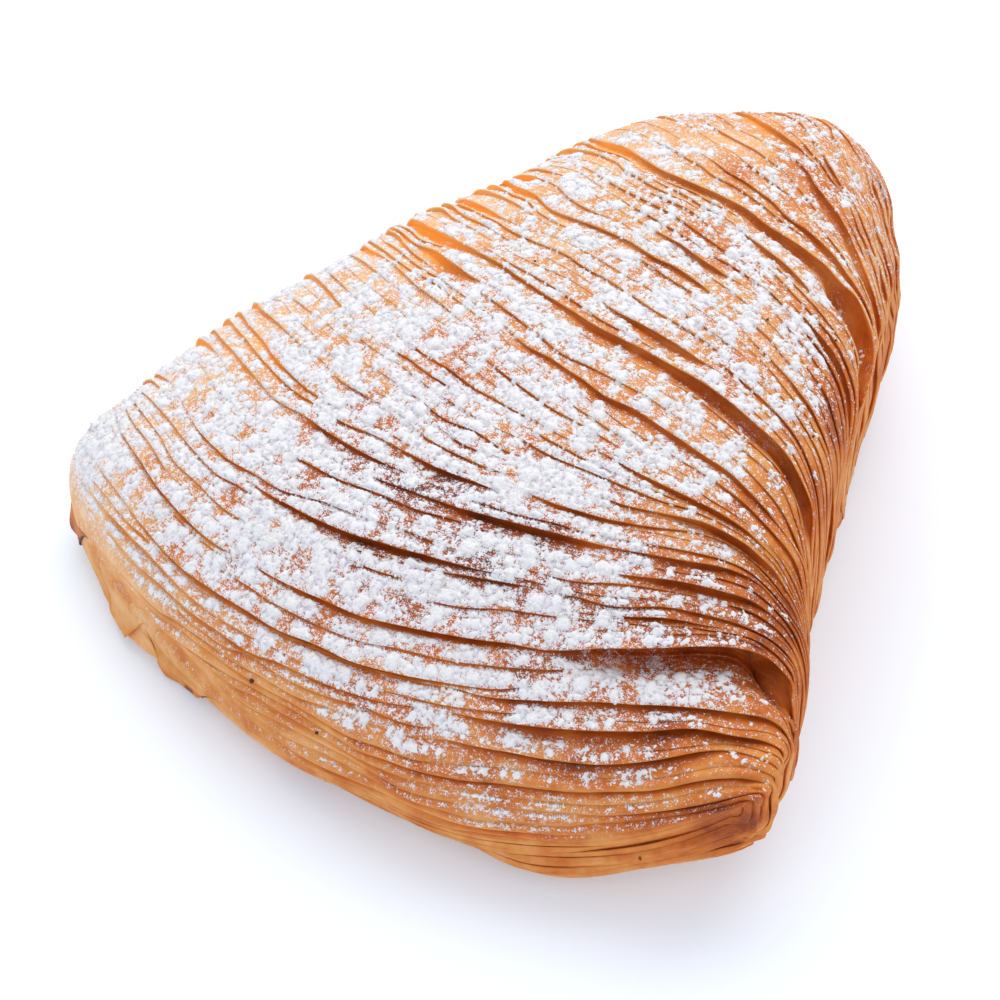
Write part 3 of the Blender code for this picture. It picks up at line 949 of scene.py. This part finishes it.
# painted shade: the sugar greyed towards lavender in its creases and where its fine noise dips
painted_crease_shade = t.rise(t.stored("crease") * 1.6 + (crumbly - 0.5) * 0.9 + (soft - 0.5) * 0.5, -0.12, 0.32)
white = t.mix(painted_crease_shade, colour(253, 253, 255), colour(221, 217, 227))
plug(sugar.node_tree, white, shader, "Base Color")
plug(sugar.node_tree, 0.85 + 0.15 * crumbly, shader, "Roughness")
relief = t.node("ShaderNodeBump", {}, {"Strength": 1.0, "Distance": 0.00026,
                                      "Height": crumbly}, "Normal")
plug(sugar.node_tree, relief, shader, "Normal")
shader.inputs["Specular IOR Level"].default_value = 0.1


def finish_sugar(piece):
    piece.data.materials.append(sugar)
    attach(piece, "root")
    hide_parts("pastry")


cell_y = grid_y[:-1, :-1]
middle_y = np.median(cell_y[used])
for name, chosen in (("sugar_back", cell_y >= middle_y), ("sugar_front", cell_y < middle_y)):
    quads = np.stack([index[c][used & chosen] for c in corners], -1)
    kept, quads = np.unique(quads, return_inverse=True)
    heights = (ground + pile).ravel()[kept]
    points = np.stack([grid_x.ravel()[kept], grid_y.ravel()[kept], heights], -1)
    piece = make_mesh(name, points, quads.reshape(-1, 4))
    keep(piece, "crease", crease.ravel()[kept])
    finish_sugar(piece)


def scatter(name, levels, where_i, where_j, sizes, seat, seed):
    """Lumpy little balls of sugar, half sunk where they landed."""
    unit, faces = ball(levels)
    rng = np.random.default_rng(seed)
    count = len(sizes)
    lumps = 1 + rng.uniform(-0.22, 0.22, (count, len(unit)))
    squash = rng.uniform(0.7, 1.15, (count, 1, 3))
    points = unit[None] * lumps[..., None] * squash * sizes[:, None, None]
    landed = ground[where_i, where_j] + seat * sizes + np.maximum(pile[where_i, where_j], 0)
    spot = np.stack([xs[where_i] + rng.uniform(-0.5, 0.5, count) * CELL,
                     ys[where_j] + rng.uniform(-0.5, 0.5, count) * CELL,
                     landed], -1)
    points = (points + spot[:, None]).reshape(-1, 3)
    faces = (faces[None] + (np.arange(count) * len(unit))[:, None, None]).reshape(-1, 3)
    piece = make_mesh(name, points, faces)
    # painted shade: each ball is made greyer on its underside through the crease figure
    keep(piece, "crease", np.tile(0.02 - 0.10 * unit[:, 2], count))
    finish_sugar(piece)


MOST_CLUMPS, MOST_GRAINS = 850, 6500
puff_i, puff_j, puff_r = (np.array(column) for column in zip(*big_puffs))
clump = rng.permutation(len(big_puffs))[:MOST_CLUMPS]
scatter("sugar_clumps", 2, puff_i[clump], puff_j[clump], puff_r[clump] * 0.5, -0.15, 61)
odds = np.where(np.isnan(ground), 0, heaped ** 0.8) * (slope > 0.25) * (0.35 + film)
odds = np.where(pile > 0, odds * 0.25, odds)
spots = np.flatnonzero(rng.random(odds.shape) < odds * 0.16)
spots = rng.permutation(spots)[:MOST_GRAINS]
grain_i, grain_j = np.unravel_index(spots, odds.shape)
scatter("sugar_grains", 1, grain_i, grain_j, rng.uniform(0.05, 0.13, len(spots)), 0.35, 62)

# --- Table, light and camera -----------------------------------------------------------
# A plain white table, faintly lit from within, one large soft light behind the pastry and
# pale fill all round.

FLOOR_HALF = 0.6
floor_mesh = bpy.data.meshes.new("table")
floor_corners = ((-1, -1), (1, -1), (1, 1), (-1, 1))
floor_mesh.from_pydata([(x * FLOOR_HALF, y * FLOOR_HALF, 0) for x, y in floor_corners],
                       [], [(0, 1, 2, 3)])
table = bpy.data.objects.new("table", floor_mesh)
bpy.context.scene.collection.objects.link(table)
paint, shader, t = new_material("white_table")
shader.inputs["Base Color"].default_value = colour(239, 243, 249)
shader.inputs["Roughness"].default_value = 0.8
shader.inputs["Emission Color"].default_value = (0.105, 0.165, 0.215, 1)
shader.inputs["Emission Strength"].default_value = 1.0
floor_mesh.materials.append(paint)

world = bpy.data.worlds.new("soft_room")
world.use_nodes = True
background = world.node_tree.nodes["Background"]
background.inputs["Color"].default_value = (0.93, 0.945, 1.0, 1)
background.inputs["Strength"].default_value = 0.72
bpy.context.scene.world = world


def soft_light(name, place, size, power, tint):
    lamp = bpy.data.lights.new(name, "AREA")
    lamp.shape, lamp.size, lamp.energy, lamp.color = "DISK", size, power, tint
    holder = bpy.data.objects.new(name, lamp)
    holder.location = place
    holder.rotation_euler = (-Vector(place)).to_track_quat("-Z", "Y").to_euler()
    bpy.context.scene.collection.objects.link(holder)


soft_light("window", (-0.32, 0.40, 0.80), 1.1, 5.3, (1.0, 0.985, 0.96))
soft_light("fill", (0.60, 0.0, 0.5), 0.8, 0.6, (1.0, 0.99, 0.98))
soft_light("left_fill", (-0.6, -0.10, 0.60), 0.8, 0.75, (1.0, 1.0, 1.0))
soft_light("front_fill", (0.20, -0.60, 0.55), 0.8, 0.5, (0.98, 0.99, 1.0))

AZIMUTH, ELEVATION, DISTANCE = math.radians(49), math.radians(52), 0.4564
AIM = Vector((-16.6, -7.3, 0)) * MM
away = Vector((math.sin(AZIMUTH) * math.cos(ELEVATION), -math.cos(AZIMUTH) * math.cos(ELEVATION),
               math.sin(ELEVATION)))
lens = bpy.data.cameras.new("camera")
lens.lens, lens.sensor_width, lens.clip_start = 120, 36, 0.01
camera = bpy.data.objects.new("camera", lens)
camera.location = AIM + away * DISTANCE
camera.rotation_euler = (-away).to_track_quat("-Z", "Y").to_euler()
bpy.context.scene.collection.objects.link(camera)
bpy.context.scene.camera = camera
bpy.context.scene.view_settings.view_transform = "Standard"
